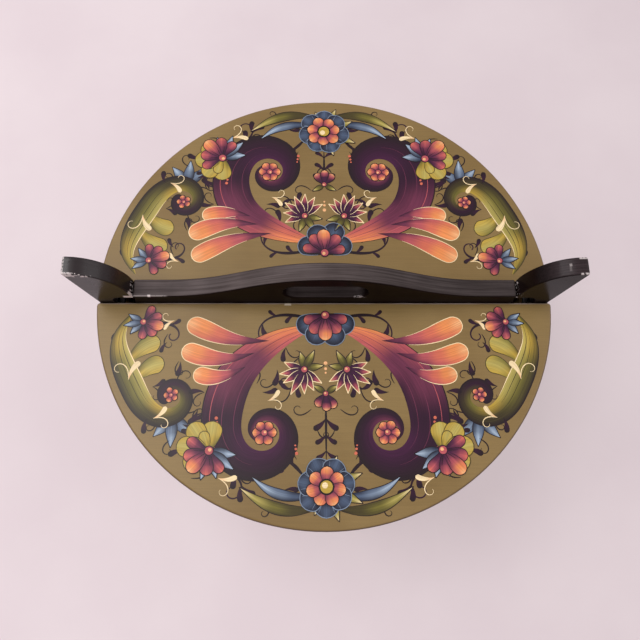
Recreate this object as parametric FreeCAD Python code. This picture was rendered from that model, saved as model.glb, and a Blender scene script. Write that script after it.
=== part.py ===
import FreeCAD, Part
import math
import os

# A round tine: a bentwood box whose lid snaps in between two springy posts.
# Millimetres. +Z is up, +X runs along the handle, and the origin is on the floor
# under the middle of the box. The front is towards -Y.

# Lid: two half-round leaves with the handle board between them
lid_radius = 165.0
leaf_thickness = 10.0
leaf_top_round = 2.0
leaf_bottom_round = 0.8
leaf_corner_radius = 2.5
board_slot_width = 13.0
board_side_gap = 0.05

# Box: a bent band round a base board
rim_height = 140.0
lid_overhang = 13.3
band_thickness = 4.0
band_edge_round = 0.8
base_thickness = 12.0
base_edge_round = 1.0
base_side_gap = 0.1

# Lap of the band at the back, in degrees round the box
lap_start_angle = 79.0
lap_end_angle = 103.0
lap_feather_angle = 5.0
lap_ramp_angle = 10.0
lap_tip_thickness = 1.2

# Root lacing that sews the lap
lacing_angles = (83.5, 98.5)
lacing_base_margin = 10.0
lacing_rim_margin = 16.0
lacing_row_count = 9
lacing_length = 9.0
lacing_height = 3.6
lacing_thickness = 1.1
lacing_leg_width = 1.8
lacing_leg_height = 2.6
lacing_gap = 0.15
lacing_edge_round = 0.4

# Pegs through the band into the base board
base_peg_radius = 2.0
base_peg_depth = 16.0
base_peg_proud = 0.3
base_peg_count = 12
lap_peg_inset_angle = 7.5
peg_gap = 0.05

# Posts: their thickness follows the slot between the leaves
post_side_gap = 0.3
post_band_gap = 0.3
post_depth = 11.4
post_rise = 54.0
post_lean = 8.7
post_top_round = 2.0
post_edge_round = 1.0
post_foot_clearance = 2.0
beak_reach = 15.7
beak_underside = 8.3
beak_throat_radius = 6.0
beak_gap = 0.3

# Peg that pins each post's foot, with room in the box for the post to spring
foot_peg_radius = 2.5
foot_peg_depth = 9.0
foot_peg_proud = 0.4
foot_peg_room = 0.35

# Handle board
handle_rise = 43.7
handle_end_rise = 12.5
handle_end_round = 1.5
handle_edge_round = 1.2
handle_toe_length = 24.0
crown_control_share = 0.44
toe_control_share = 0.41
dovetail_top = 7.5
dovetail_flare = 2.8

# Finger slot through the handle board
hand_slot_length = 59.0
hand_slot_height = 20.5
hand_slot_floor = 10.0
hand_slot_round = 1.5

# Dowels that hold the leaves to the handle board
dowel_radius = 3.0
dowel_leaf_depth = 18.0
dowel_place_shares = (0.3, 0.8)

# Cleats under the lid, and their pegs
cleat_offset = 75.0
cleat_width = 20.0
cleat_height = 10.0
cleat_end_radius = 6.0
cleat_edge_round = 1.5
cleat_band_clearance = 2.0
cleat_peg_radius = 2.5
cleat_peg_depth = 6.0
cleat_peg_place_shares = (0.0, 0.22, 0.73)

# Travel that the clearances allow for: the beak moves outward by this share of the lift
lid_lift = 70.0
beak_travel_share = 0.17

cut_overrun = 1.0

# Edges are picked by place: an edge on a face lies within this share of the face's distance
near_share = 0.999

lid_top = rim_height + leaf_thickness
board_thickness = board_slot_width - 2 * board_side_gap
post_thickness = board_slot_width - 2 * post_side_gap
band_outer_radius = lid_radius - lid_overhang
band_inner_radius = band_outer_radius - band_thickness
lap_outer_radius = band_outer_radius + band_thickness
base_radius = band_inner_radius - base_side_gap
post_inner = band_outer_radius + post_band_gap
post_outer = post_inner + post_depth
beak_tip = post_inner - beak_reach
handle_half_length = beak_tip - beak_gap
arch_half_length = handle_half_length - handle_toe_length
peg_height = base_thickness / 2
beak_height = lid_top + beak_underside - post_foot_clearance
spring_angle = beak_travel_share * lid_lift / beak_height
ELLIPSE_SHARE = 4.0 / 3.0 * (math.sqrt(2.0) - 1.0)


def point(x, y, z):
    return FreeCAD.Vector(x, y, z)


def polar(radius, degrees):
    angle = math.radians(degrees)
    return point(radius * math.cos(angle), radius * math.sin(angle), 0)


def line(start, end):
    return Part.LineSegment(start, end).toShape()


def bezier(poles):
    curve = Part.BezierCurve()
    curve.setPoles(poles)
    return curve.toShape()


def arc_xz(centre_x, centre_z, radius, start_degrees, end_degrees):
    """An arc in the plane of the handle, anticlockwise seen from the front when the angle grows."""
    places = []
    for share in (0.0, 0.5, 1.0):
        angle = math.radians(start_degrees + share * (end_degrees - start_degrees))
        places.append(point(centre_x + radius * math.cos(angle), 0, centre_z + radius * math.sin(angle)))
    return Part.Arc(*places).toShape()


def arc_polar(start_radius, start_degrees, end_radius, end_degrees):
    """An arc round the box that may also climb from one radius to another."""
    middle = polar((start_radius + end_radius) / 2, (start_degrees + end_degrees) / 2)
    return Part.Arc(polar(start_radius, start_degrees), middle, polar(end_radius, end_degrees)).toShape()


def slab_xz(edges, thickness):
    """A flat piece in the plane of the handle, of the given thickness about that plane."""
    face = Part.Face(Part.Wire(edges))
    face.translate(point(0, -thickness / 2, 0))
    return face.extrude(point(0, thickness, 0))


def slab_xy(edges, bottom, height):
    face = Part.Face(Part.Wire(edges))
    face.translate(point(0, 0, bottom))
    return face.extrude(point(0, 0, height))


def rounded(shape, radius, wanted):
    edges = [edge for edge in shape.Edges if wanted(edge.CenterOfMass, edge)]
    return shape.makeFillet(radius, edges) if edges else shape


def radial_cylinder(radius, inner, outer, degrees, height):
    """A cylinder that points out from the middle of the box."""
    start = polar(inner, degrees) + point(0, 0, height)
    return Part.makeCylinder(radius, outer - inner, start, polar(1, degrees))


def cut_all(shape, tools):
    return shape.cut(Part.makeCompound(tools))


def save(name, shape):
    shape.exportStep("parts/" + name + ".step")


def lap_zone(degrees):
    return lap_start_angle < degrees < lap_end_angle + lap_ramp_angle


def base_peg_places():
    """(angle, outer radius) of each peg: evenly round the box, and two of their own in the lap."""
    step = 360.0 / base_peg_count
    angles = [step * (index + 0.5) for index in range(base_peg_count)]
    places = [(angle, band_outer_radius) for angle in angles if not lap_zone(angle)]
    for angle in (lap_start_angle + lap_peg_inset_angle, lap_end_angle - lap_peg_inset_angle):
        places.append((angle, lap_outer_radius))
    return places


def base_pegs(gap, proud):
    pegs = []
    for degrees, outer in base_peg_places():
        inner = base_radius - base_peg_depth - gap
        pegs.append(radial_cylinder(base_peg_radius + gap, inner, outer + proud, degrees, peg_height))
    return pegs


def lacing_heights():
    lowest = base_thickness + lacing_base_margin
    pitch = (rim_height - lacing_rim_margin - lowest) / (lacing_row_count - 1)
    return [lowest + pitch * index for index in range(lacing_row_count)]


def lacing_box(width, height, inner, outer, along, degrees, middle):
    """A block across the band, at a place along it and a height."""
    block = Part.makeBox(outer - inner, width, height, point(inner, along - width / 2, middle - height / 2))
    block.rotate(point(0, 0, 0), point(0, 0, 1), degrees)
    return block


def lacing_legs(degrees, height, gap):
    inner = band_inner_radius - lacing_gap - lacing_thickness / 2
    outer = lap_outer_radius + lacing_gap + lacing_thickness / 2
    width = lacing_leg_width + 2 * gap
    reach = (lacing_length - lacing_leg_width) / 2
    tall = lacing_leg_height + 2 * gap
    return [lacing_box(width, tall, inner, outer, side * reach, degrees, height) for side in (-1, 1)]


def stitch(degrees, height):
    """One loop of root: a strap outside, a strap inside and two legs through the lap."""
    outside = lap_outer_radius + lacing_gap
    inside = band_inner_radius - lacing_gap
    outer_strap = lacing_box(
        lacing_length, lacing_height, outside, outside + lacing_thickness, 0, degrees, height)
    outer_strap = outer_strap.makeFillet(lacing_edge_round, outer_strap.Edges)
    inner_strap = lacing_box(
        lacing_length, lacing_height, inside - lacing_thickness, inside, 0, degrees, height)
    return outer_strap.multiFuse([inner_strap] + lacing_legs(degrees, height, 0))


def all_lacing():
    return [stitch(degrees, height) for degrees in lacing_angles for height in lacing_heights()]


def foot_peg_tip():
    return post_inner - post_band_gap - band_thickness - base_side_gap - foot_peg_depth


def foot_peg():
    outer = post_outer + foot_peg_proud
    return radial_cylinder(foot_peg_radius, foot_peg_tip(), outer, 0, peg_height)


def foot_peg_hole():
    """The room that the peg needs in the box: it rises as the post springs outward."""
    radius = foot_peg_radius + foot_peg_room
    rise = (post_inner - foot_peg_tip()) * math.sin(spring_angle)
    inner = foot_peg_tip() - foot_peg_room
    low = radial_cylinder(radius, inner, post_inner + cut_overrun, 0, peg_height)
    high = radial_cylinder(radius, inner, post_inner + cut_overrun, 0, peg_height + rise)
    length = post_inner + cut_overrun - inner
    middle = Part.makeBox(length, 2 * radius, rise, point(inner, -radius, peg_height))
    return low.multiFuse([middle, high])


def foot_peg_holes():
    right = foot_peg_hole()
    return [right, right.mirror(point(0, 0, 0), point(1, 0, 0))]


def base_board():
    board = Part.makeCylinder(base_radius, base_thickness)
    board = rounded(board, base_edge_round, lambda middle, edge: edge.Length > base_radius)
    return cut_all(board, base_pegs(peg_gap, cut_overrun) + foot_peg_holes())


def band_lap():
    """The outer layer of the lap: a feathered end, an even stretch and the ramp over the inner end."""
    tip = band_outer_radius + lap_tip_thickness
    feathered = lap_start_angle + lap_feather_angle
    ramp_end = lap_end_angle + lap_ramp_angle
    seat = band_outer_radius - band_thickness / 2
    edges = [
        line(polar(seat, lap_start_angle), polar(tip, lap_start_angle)),
        arc_polar(tip, lap_start_angle, lap_outer_radius, feathered),
        arc_polar(lap_outer_radius, feathered, lap_outer_radius, lap_end_angle),
        arc_polar(lap_outer_radius, lap_end_angle, band_outer_radius, ramp_end),
        line(polar(band_outer_radius, ramp_end), polar(seat, ramp_end)),
        arc_polar(seat, ramp_end, seat, lap_start_angle),
    ]
    return slab_xy(edges, 0, rim_height)


def side_band():
    band = Part.makeCylinder(band_outer_radius, rim_height)
    bore_length = rim_height + 2 * cut_overrun
    band = band.cut(Part.makeCylinder(band_inner_radius, bore_length, point(0, 0, -cut_overrun)))
    band = rounded(band, band_edge_round, lambda middle, edge: edge.Length > band_inner_radius)
    band = band.fuse(band_lap())
    holes = base_pegs(peg_gap, cut_overrun) + foot_peg_holes()
    for degrees in lacing_angles:
        for height in lacing_heights():
            holes += lacing_legs(degrees, height, peg_gap)
    return cut_all(band, holes)


def right_post():
    """The post leans out above the lid, and its beak reaches in over the end of the handle board."""
    foot = post_foot_clearance
    top = lid_top + post_rise
    top_outer = post_outer + post_lean
    corner = post_top_round
    beak = lid_top + beak_underside
    throat = beak_throat_radius
    arch_end = top_outer - corner
    reach = arch_end - beak_tip
    rise = top - beak
    lean = point(post_outer - top_outer, 0, lid_top - top)
    lean.normalize()
    corner_end = point(top_outer, 0, top) + lean * corner
    edges = [
        line(point(post_inner, 0, foot), point(post_outer, 0, foot)),
        line(point(post_outer, 0, foot), point(post_outer, 0, lid_top)),
        line(point(post_outer, 0, lid_top), corner_end),
        bezier([corner_end, point(top_outer, 0, top), point(arch_end, 0, top)]),
        bezier([
            point(arch_end, 0, top),
            point(arch_end - ELLIPSE_SHARE * reach, 0, top),
            point(beak_tip, 0, beak + ELLIPSE_SHARE * rise),
            point(beak_tip, 0, beak),
        ]),
        line(point(beak_tip, 0, beak), point(post_inner - throat, 0, beak)),
        arc_xz(post_inner - throat, beak - throat, throat, 90.0, 0.0),
        line(point(post_inner, 0, beak - throat), point(post_inner, 0, foot)),
    ]
    post = slab_xz(edges, post_thickness)
    side = post_thickness / 2
    post = rounded(
        post, post_edge_round,
        lambda middle, edge: abs(middle.y) > side * near_share and middle.x > beak_tip + throat
        and (middle.z > lid_top + throat or middle.x > post_outer * near_share))
    hole = radial_cylinder(foot_peg_radius + peg_gap, post_inner - cut_overrun, post_outer + cut_overrun,
                           0, peg_height)
    return post.cut(hole)


def handle_half_outline(side):
    """The end, the level toe and the arch of one half of the handle board, from the bottom to the crown."""
    bottom = rim_height
    end = handle_half_length
    toe = lid_top + handle_end_rise
    crown = lid_top + handle_rise
    corner = handle_end_round
    slope_top = lid_top + dovetail_top
    edges = [
        line(point(side * (end + dovetail_flare), 0, bottom), point(side * end, 0, slope_top)),
        line(point(side * end, 0, slope_top), point(side * end, 0, toe - corner)),
        bezier([point(side * end, 0, toe - corner), point(side * end, 0, toe),
                point(side * (end - corner), 0, toe)]),
        line(point(side * (end - corner), 0, toe), point(side * arch_half_length, 0, toe)),
        bezier([
            point(side * arch_half_length, 0, toe),
            point(side * arch_half_length * (1 - toe_control_share), 0, toe),
            point(side * arch_half_length * crown_control_share, 0, crown),
            point(0, 0, crown),
        ]),
    ]
    return edges


def hand_slot():
    radius = hand_slot_height / 2
    straight = hand_slot_length / 2 - radius
    floor = lid_top + hand_slot_floor
    middle = floor + radius
    top = floor + hand_slot_height
    edges = [
        line(point(-straight, 0, floor), point(straight, 0, floor)),
        arc_xz(straight, middle, radius, -90.0, 90.0),
        line(point(straight, 0, top), point(-straight, 0, top)),
        arc_xz(-straight, middle, radius, 90.0, 270.0),
    ]
    return slab_xz(edges, board_thickness + 2 * cut_overrun)


def handle_board():
    bottom_end = handle_half_length + dovetail_flare
    right = handle_half_outline(1)
    left = handle_half_outline(-1)
    left.reverse()
    underside = line(point(-bottom_end, 0, rim_height), point(bottom_end, 0, rim_height))
    board = slab_xz([underside] + right + left, board_thickness)
    side = board_thickness / 2
    slot_reach = hand_slot_length / 2 + hand_slot_round
    board = board.cut(hand_slot())
    board = rounded(
        board, hand_slot_round,
        lambda middle, edge: abs(middle.y) > side * near_share and abs(middle.x) < slot_reach
        and middle.z > lid_top)
    board = rounded(
        board, handle_edge_round,
        lambda middle, edge: abs(middle.y) > side * near_share and abs(middle.x) > slot_reach)
    return cut_all(board, leaf_dowels(peg_gap) + cleat_pegs(peg_gap))


def front_leaf():
    """Half a disc whose straight edge lies along the handle board, with its two tips rounded."""
    edge = -board_slot_width / 2
    corner = leaf_corner_radius
    inner = lid_radius - corner
    centre_y = edge - corner
    centre_x = math.sqrt(inner ** 2 - centre_y ** 2)
    tip = math.atan2(-centre_y, centre_x)
    rim_x = lid_radius * math.cos(tip)
    rim_y = -lid_radius * math.sin(tip)
    middle_angle = (math.pi / 2 - tip) / 2
    turn_x = centre_x + corner * math.cos(middle_angle)
    turn_y = centre_y + corner * math.sin(middle_angle)
    outline = [
        line(point(-centre_x, edge, 0), point(centre_x, edge, 0)),
        Part.Arc(point(centre_x, edge, 0), point(turn_x, turn_y, 0), point(rim_x, rim_y, 0)).toShape(),
        Part.Arc(point(rim_x, rim_y, 0), point(0, -lid_radius, 0), point(-rim_x, rim_y, 0)).toShape(),
        Part.Arc(point(-rim_x, rim_y, 0), point(-turn_x, turn_y, 0), point(-centre_x, edge, 0)).toShape(),
    ]
    leaf = slab_xy(outline, rim_height, leaf_thickness)
    middle = rim_height + leaf_thickness / 2
    level = leaf_thickness / 2 * near_share
    leaf = rounded(leaf, leaf_top_round, lambda place, edge: place.z - middle > level)
    leaf = rounded(leaf, leaf_bottom_round, lambda place, edge: middle - place.z > level)
    return cut_all(leaf, leaf_dowels(peg_gap) + cleat_pegs(peg_gap))


def rear_leaf():
    return front_leaf().mirror(point(0, 0, 0), point(0, 1, 0))


def leaf_dowels(gap):
    """Level dowels from one leaf through the handle board into the other."""
    half = board_slot_width / 2 + dowel_leaf_depth + gap
    height = rim_height + leaf_thickness / 2
    dowels = []
    for share in dowel_place_shares:
        for side in (-1, 1):
            start = point(side * share * handle_half_length, -half, height)
            dowels.append(Part.makeCylinder(dowel_radius + gap, 2 * half, start, point(0, 1, 0)))
    return dowels


def cleat_half_length():
    reach = band_inner_radius - cleat_band_clearance
    return math.sqrt(reach ** 2 - (cleat_offset + cleat_width / 2) ** 2)


def cleat_peg_points():
    points = []
    for side in (-1, 1):
        for share in cleat_peg_place_shares:
            place = share * cleat_half_length()
            rows = (-place, place) if place else (0,)
            points += [(side * cleat_offset, row) for row in rows]
    return points


def cleat_pegs(gap):
    """Upright pegs through the cleats into the leaves and the handle board."""
    bottom = rim_height - cleat_height
    height = cleat_height + cleat_peg_depth + gap
    return [
        Part.makeCylinder(cleat_peg_radius + gap, height, point(x, y, bottom))
        for x, y in cleat_peg_points()
    ]


def cleat(side):
    """A batten across the lid's underside, short enough to drop inside the band."""
    half_width = cleat_width / 2
    half_length = cleat_half_length()
    low = point(side * cleat_offset - half_width, -half_length, rim_height - cleat_height)
    batten = Part.makeBox(cleat_width, 2 * half_length, cleat_height, low)
    middle = rim_height - cleat_height / 2
    level = cleat_height / 2 * near_share
    batten = rounded(
        batten, cleat_end_radius,
        lambda place, edge: abs(place.z - middle) < level and abs(place.y) > half_length * near_share)
    batten = rounded(batten, cleat_edge_round, lambda place, edge: middle - place.z > level)
    return cut_all(batten, cleat_pegs(peg_gap))


def main():
    os.makedirs("parts", exist_ok=True)
    post = right_post()
    peg = foot_peg()
    across = point(1, 0, 0)
    middle = point(0, 0, 0)
    save("base_board", base_board())
    save("side_band", side_band())
    save("lap_lacing", Part.makeCompound(all_lacing()))
    save("base_pegs", Part.makeCompound(base_pegs(0, base_peg_proud)))
    save("right_post", post)
    save("left_post", post.mirror(middle, across))
    save("right_foot_peg", peg)
    save("left_foot_peg", peg.mirror(middle, across))
    save("lid_front_leaf", front_leaf())
    save("lid_rear_leaf", rear_leaf())
    save("handle_board", handle_board())
    save("leaf_dowels", Part.makeCompound(leaf_dowels(0)))
    save("left_cleat", cleat(-1))
    save("right_cleat", cleat(1))
    save("cleat_pegs", Part.makeCompound(cleat_pegs(0)))


main()
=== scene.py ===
import math

import bmesh
import bpy
import numpy as np
from mathutils import Matrix, Vector


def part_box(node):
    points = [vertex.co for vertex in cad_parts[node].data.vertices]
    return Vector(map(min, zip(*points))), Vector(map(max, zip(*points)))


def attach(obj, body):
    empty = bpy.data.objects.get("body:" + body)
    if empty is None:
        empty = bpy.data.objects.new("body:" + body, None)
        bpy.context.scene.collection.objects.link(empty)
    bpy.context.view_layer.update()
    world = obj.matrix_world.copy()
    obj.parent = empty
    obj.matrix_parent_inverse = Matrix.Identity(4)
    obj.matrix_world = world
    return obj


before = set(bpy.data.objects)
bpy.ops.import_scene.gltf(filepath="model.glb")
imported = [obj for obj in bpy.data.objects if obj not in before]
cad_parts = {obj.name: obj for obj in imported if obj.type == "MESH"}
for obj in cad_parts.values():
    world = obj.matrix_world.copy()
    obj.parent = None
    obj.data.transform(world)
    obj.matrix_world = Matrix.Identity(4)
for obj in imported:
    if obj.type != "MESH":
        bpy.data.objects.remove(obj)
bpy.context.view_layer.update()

MM = 0.001

# Places that the CAD model gives, in metres
LEAF_LOW, LEAF_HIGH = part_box("lid_front_leaf")
BOARD_LOW, BOARD_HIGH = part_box("handle_board")
POST_LOW, POST_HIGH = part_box("right_post")
BAND_LOW, BAND_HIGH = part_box("side_band")
LID_TOP = LEAF_HIGH.z
LID_RADIUS = -LEAF_LOW.y
SLOT_EDGE = -LEAF_HIGH.y
# How far the posts' noses lie over the lid
NOSE_RISE = 8.3 * MM


def srgb(red, green, blue):
    """A colour as it looks on screen, 0 to 255, in the linear values that shaders take."""
    shares = np.array([red, green, blue]) / 255
    linear = np.where(shares <= 0.04045, shares / 12.92, ((shares + 0.055) / 1.055) ** 2.4)
    return tuple(float(value) for value in linear)


# Paint colours
INK = srgb(26, 14, 18)
AUBERGINE = srgb(42, 12, 36)
DEEP_PURPLE = srgb(62, 20, 54)
PLUM = srgb(102, 44, 68)
ROSE = srgb(178, 84, 90)
SALMON = srgb(208, 108, 84)
ORANGE = srgb(228, 140, 82)
PEACH = srgb(238, 178, 126)
CREAM = srgb(242, 216, 170)
MUSTARD = srgb(184, 152, 60)
PALE_OLIVE = srgb(178, 162, 88)
MOSS = srgb(112, 104, 44)
DARK_OLIVE = srgb(66, 58, 28)
NAVY = srgb(18, 20, 36)
SLATE = srgb(74, 88, 112)
GREY_BLUE = srgb(118, 132, 152)
PALE_BLUE = srgb(168, 184, 202)

# Colours of whole surfaces, two where one runs into another
LID_OLIVE = srgb(124, 100, 59), srgb(134, 110, 67)
BAND_OLIVE = srgb(118, 97, 60), srgb(134, 112, 72)
DARK_PAINT = srgb(12, 5, 4), srgb(20, 11, 10)
PINE = srgb(206, 170, 122), srgb(164, 118, 72)
END_GRAIN = srgb(150, 108, 66), srgb(106, 70, 40)
ROOT = srgb(92, 60, 34), srgb(150, 106, 64)
FLOOR = srgb(228, 212, 217), srgb(234, 219, 223)
BACKDROP = srgb(229, 213, 218)
SKY = srgb(255, 250, 252)

# Painted light: the dark paint where it faces up, lighter than on its sides as if lit from above
HANDLE_TOP_LIGHT = srgb(70, 61, 60), srgb(93, 83, 82)
LEFT_POST_TOP_LIGHT = srgb(18, 12, 13), srgb(28, 21, 22)
RIGHT_POST_TOP_LIGHT = srgb(40, 32, 34), srgb(60, 50, 52)

# Colours of worn places, and of painted shade and a painted highlight
LID_SIDE_SHADE = srgb(74, 54, 38)
LID_RUBBED = srgb(150, 132, 112)
LID_ARRIS = srgb(172, 154, 144)
LID_CHIP = srgb(206, 190, 170)
BAND_RUBBED = srgb(176, 142, 100)
SHADE_BESIDE_POSTS = srgb(8, 5, 5)
DARK_CHIP_AND_HIGHLIGHT = srgb(222, 210, 208)

# An edge's colour and how strong it is, for the handle and for the posts
HANDLE_EDGE = srgb(112, 104, 98), 0.35
POST_EDGE = srgb(6, 3, 3), 0.8

# The dark paint's shine, and its least and most roughness
HANDLE_SHINE = 0.04
LEFT_POST_SHINE = 0.42
RIGHT_POST_SHINE = 0.1
HANDLE_ROUGHNESS = 0.3, 0.42
POST_ROUGHNESS = 0.2, 0.3
# Painted shade: how bright the handle's painted top light is at its right end, as a share of its left end
HANDLE_RIGHT_SHADE_SHARE = 0.6

# Noise scales of boards whose grain runs along the handle
BOARD_GRAIN = 12, 260, 260


def seen_rays(tree):
    """1 for rays that show a surface to the camera, straight, mirrored or through glass, and 0 for light."""
    rays = tree.nodes.new("ShaderNodeLightPath").outputs
    seen = rays["Is Camera Ray"]
    for kind in ("Is Glossy Ray", "Is Transmission Ray"):
        either = tree.nodes.new("ShaderNodeMath")
        either.operation = "MAXIMUM"
        tree.links.new(seen, either.inputs[0])
        tree.links.new(rays[kind], either.inputs[1])
        seen = either.outputs[0]
    return seen


class Shader:
    """A material whose node tree is built with short calls."""

    def __init__(self, name):
        self.material = bpy.data.materials.new(name)
        self.material.use_nodes = True
        self.tree = self.material.node_tree
        self.surface = self.tree.nodes["Principled BSDF"]
        self.place = self.add("TexCoord").outputs["Object"]

    def add(self, kind, **settings):
        node = self.tree.nodes.new("ShaderNode" + kind)
        for name, value in settings.items():
            setattr(node, name, value)
        return node

    def feed(self, socket, value):
        if isinstance(value, bpy.types.NodeSocket):
            self.tree.links.new(value, socket)
        elif socket.type == "RGBA":
            socket.default_value = (*value[:3], 1)
        else:
            socket.default_value = value

    def scaled(self, scale, place=None):
        """The place times a vector, so that a noise gets longer along the small numbers."""
        node = self.add("VectorMath", operation="MULTIPLY")
        self.feed(node.inputs[0], place or self.place)
        node.inputs[1].default_value = scale
        return node.outputs["Vector"]

    def noise(self, scale, detail, place=None, distortion=0.0):
        node = self.add("TexNoise")
        self.feed(node.inputs["Vector"], self.scaled(scale, place))
        node.inputs["Scale"].default_value = 1
        node.inputs["Detail"].default_value = detail
        node.inputs["Distortion"].default_value = distortion
        return node.outputs["Fac"]

    def math(self, operation, first, second):
        node = self.add("Math", operation=operation)
        self.feed(node.inputs[0], first)
        self.feed(node.inputs[1], second)
        return node.outputs[0]

    def spread(self, value, low, high, to_low=0.0, to_high=1.0):
        """A smooth step from to_low to to_high as the value goes from low to high."""
        node = self.add("MapRange", interpolation_type="SMOOTHSTEP")
        self.feed(node.inputs["Value"], value)
        limits = {"From Min": low, "From Max": high, "To Min": to_low, "To Max": to_high}
        for name, number in limits.items():
            node.inputs[name].default_value = number
        return node.outputs["Result"]

    def mix(self, share, first, second, blend="MIX"):
        node = self.add("Mix", data_type="RGBA", blend_type=blend)
        self.feed(node.inputs[0], share)
        self.feed(node.inputs[6], first)
        self.feed(node.inputs[7], second)
        return node.outputs[2]

    def blend(self, share, first, second):
        """A number between two others."""
        node = self.add("Mix")
        self.feed(node.inputs[0], share)
        self.feed(node.inputs[2], first)
        self.feed(node.inputs[3], second)
        return node.outputs[0]

    def times(self, colour, value):
        """A colour made lighter or darker by a number."""
        grey = self.add("CombineColor")
        for socket in grey.inputs:
            self.feed(socket, value)
        return self.mix(1.0, colour, grey.outputs[0], "MULTIPLY")

    def shaded(self, colour, noise, low, high):
        """A colour made darker and lighter by a noise, from low to high times itself."""
        return self.times(colour, self.spread(noise, 0.3, 0.7, low, high))

    def part(self, vector, axis):
        split = self.add("SeparateXYZ")
        self.feed(split.inputs[0], vector)
        return split.outputs[axis]

    def facing(self, axis):
        return self.part(self.add("NewGeometry").outputs["Normal"], axis)

    def edges(self, radius):
        """1 on edges, where a rounded normal turns from the true one, and 0 on flat faces."""
        worn, flat = 0.9, 0.995
        bevel = self.add("Bevel", samples=6)
        bevel.inputs["Radius"].default_value = radius
        dot = self.add("VectorMath", operation="DOT_PRODUCT")
        self.feed(dot.inputs[0], bevel.outputs["Normal"])
        self.feed(dot.inputs[1], self.add("NewGeometry").outputs["Normal"])
        return self.spread(dot.outputs["Value"], worn, flat, 1.0, 0.0)

    def near(self, centre, inside, outside):
        """1 within a distance of a point, and 0 beyond the outside distance."""
        node = self.add("VectorMath", operation="DISTANCE")
        self.feed(node.inputs[0], self.place)
        node.inputs[1].default_value = centre
        return self.spread(node.outputs["Value"], inside, outside, 1.0, 0.0)

    def inside(self, low, high):
        """1 in a box and 0 outside, with soft sides."""
        middle = (Vector(low) + Vector(high)) / 2
        half = (Vector(high) - Vector(low)) / 2
        shift = self.add("VectorMath", operation="SUBTRACT")
        self.feed(shift.inputs[0], self.place)
        shift.inputs[1].default_value = middle
        size = self.add("VectorMath", operation="ABSOLUTE")
        self.feed(size.inputs[0], self.scaled([1 / part for part in half], shift.outputs["Vector"]))
        most = self.part(size.outputs["Vector"], 0)
        for axis in (1, 2):
            most = self.math("MAXIMUM", most, self.part(size.outputs["Vector"], axis))
        return self.spread(most, 0.8, 1.1, 1.0, 0.0)

    def bump(self, height, distance):
        node = self.add("Bump")
        node.inputs["Distance"].default_value = distance
        self.feed(node.inputs["Height"], height)
        return node.outputs["Normal"]

    def glow(self, colour, share):
        """Shows a share of the plain colour, without shadow, where the surface is seen or mirrored."""
        plain = self.add("Emission")
        self.feed(plain.inputs["Color"], colour)
        both = self.add("MixShader")
        self.feed(both.inputs[0], self.math("MULTIPLY", seen_rays(self.tree), share))
        self.tree.links.new(self.surface.outputs[0], both.inputs[1])
        self.tree.links.new(plain.outputs[0], both.inputs[2])
        self.tree.links.new(both.outputs[0], self.tree.nodes["Material Output"].inputs["Surface"])

    def finish(self, colour, roughness, normal, **constants):
        self.feed(self.surface.inputs["Base Color"], colour)
        self.feed(self.surface.inputs["Roughness"], roughness)
        self.feed(self.surface.inputs["Normal"], normal)
        for name, value in constants.items():
            self.surface.inputs[name.replace("_", " ")].default_value = value
        return self.material


def pine(shader, across):
    """Bare planed pine with its grain across the given scales: (colour, height of the grain)."""
    wander = shader.noise(tuple(part * 0.2 for part in across), 2)
    grain = shader.noise(across, 4, distortion=0.6)
    late = shader.spread(shader.math("ADD", grain, wander), 0.85, 1.15)
    colour = shader.mix(late, *PINE)
    fibre = shader.noise(tuple(part * 7 for part in across), 2)
    return shader.shaded(colour, fibre, 0.9, 1.06), fibre


def lid_paint():
    """Olive ground under varnish, brushed along the handle, with painted shade in brown towards the edges.
    """
    shader = Shader("lid_paint")
    cloud = shader.noise((14, 14, 14), 3)
    colour = shader.mix(shader.spread(cloud, 0.35, 0.65), *LID_OLIVE)
    strokes = shader.noise((26, 900, 900), 3)
    colour = shader.shaded(colour, strokes, 0.96, 1.04)
    specks = shader.noise((1500, 1500, 1500), 1)
    colour = shader.shaded(colour, specks, 0.96, 1.03)
    # Painted shade: faces that turn away from looking up darken to brown, on the lid's rounded rim and sides
    rim = shader.spread(shader.facing(2), 0.5, 0.98, 1.0, 0.0)
    colour = shader.mix(rim, colour, LID_SIDE_SHADE)
    patches = shader.spread(shader.noise((90, 90, 90), 2), 0.56, 0.66)
    rubbed = shader.math("MULTIPLY", shader.edges(1.2 * MM), patches)
    colour = shader.mix(rubbed, colour, LID_RUBBED)
    edge = -SLOT_EDGE
    low, high = LID_TOP - 3 * MM, LID_TOP + MM
    arris = shader.inside((-LID_RADIUS, edge - 1.5 * MM, low), (LID_RADIUS, edge + MM, high))
    uneven = shader.spread(shader.noise((60, 300, 300), 3), 0.35, 0.6, 0.35, 1.0)
    colour = shader.mix(shader.math("MULTIPLY", arris, uneven), colour, LID_ARRIS)
    chip = shader.inside((-29.5 * MM, edge - 2.4 * MM, low), (-24.5 * MM, edge + MM, high))
    colour = shader.mix(chip, colour, LID_CHIP)
    wood, _ = pine(shader, BOARD_GRAIN)
    underside = shader.spread(shader.facing(2), -0.7, -0.5, 1.0, 0.0)
    colour = shader.mix(underside, colour, wood)
    gloss = shader.spread(cloud, 0.3, 0.7, 0.34, 0.42)
    return shader.finish(colour, gloss, shader.bump(strokes, 0.02 * MM), Specular_IOR_Level=0.3)


def rosemaling_paint():
    """The strokes' own colours, streaked along each stroke."""
    shader = Shader("rosemaling_paint")
    colour = shader.add("Attribute", attribute_name="Paint").outputs["Color"]
    along = shader.add("UVMap", uv_map="Stroke").outputs["UV"]
    streaks = shader.noise((40, 1400, 1), 3, along)
    colour = shader.shaded(colour, streaks, 0.84, 1.12)
    return shader.finish(colour, 0.36, shader.bump(streaks, 0.03 * MM), Specular_IOR_Level=0.26)


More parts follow.
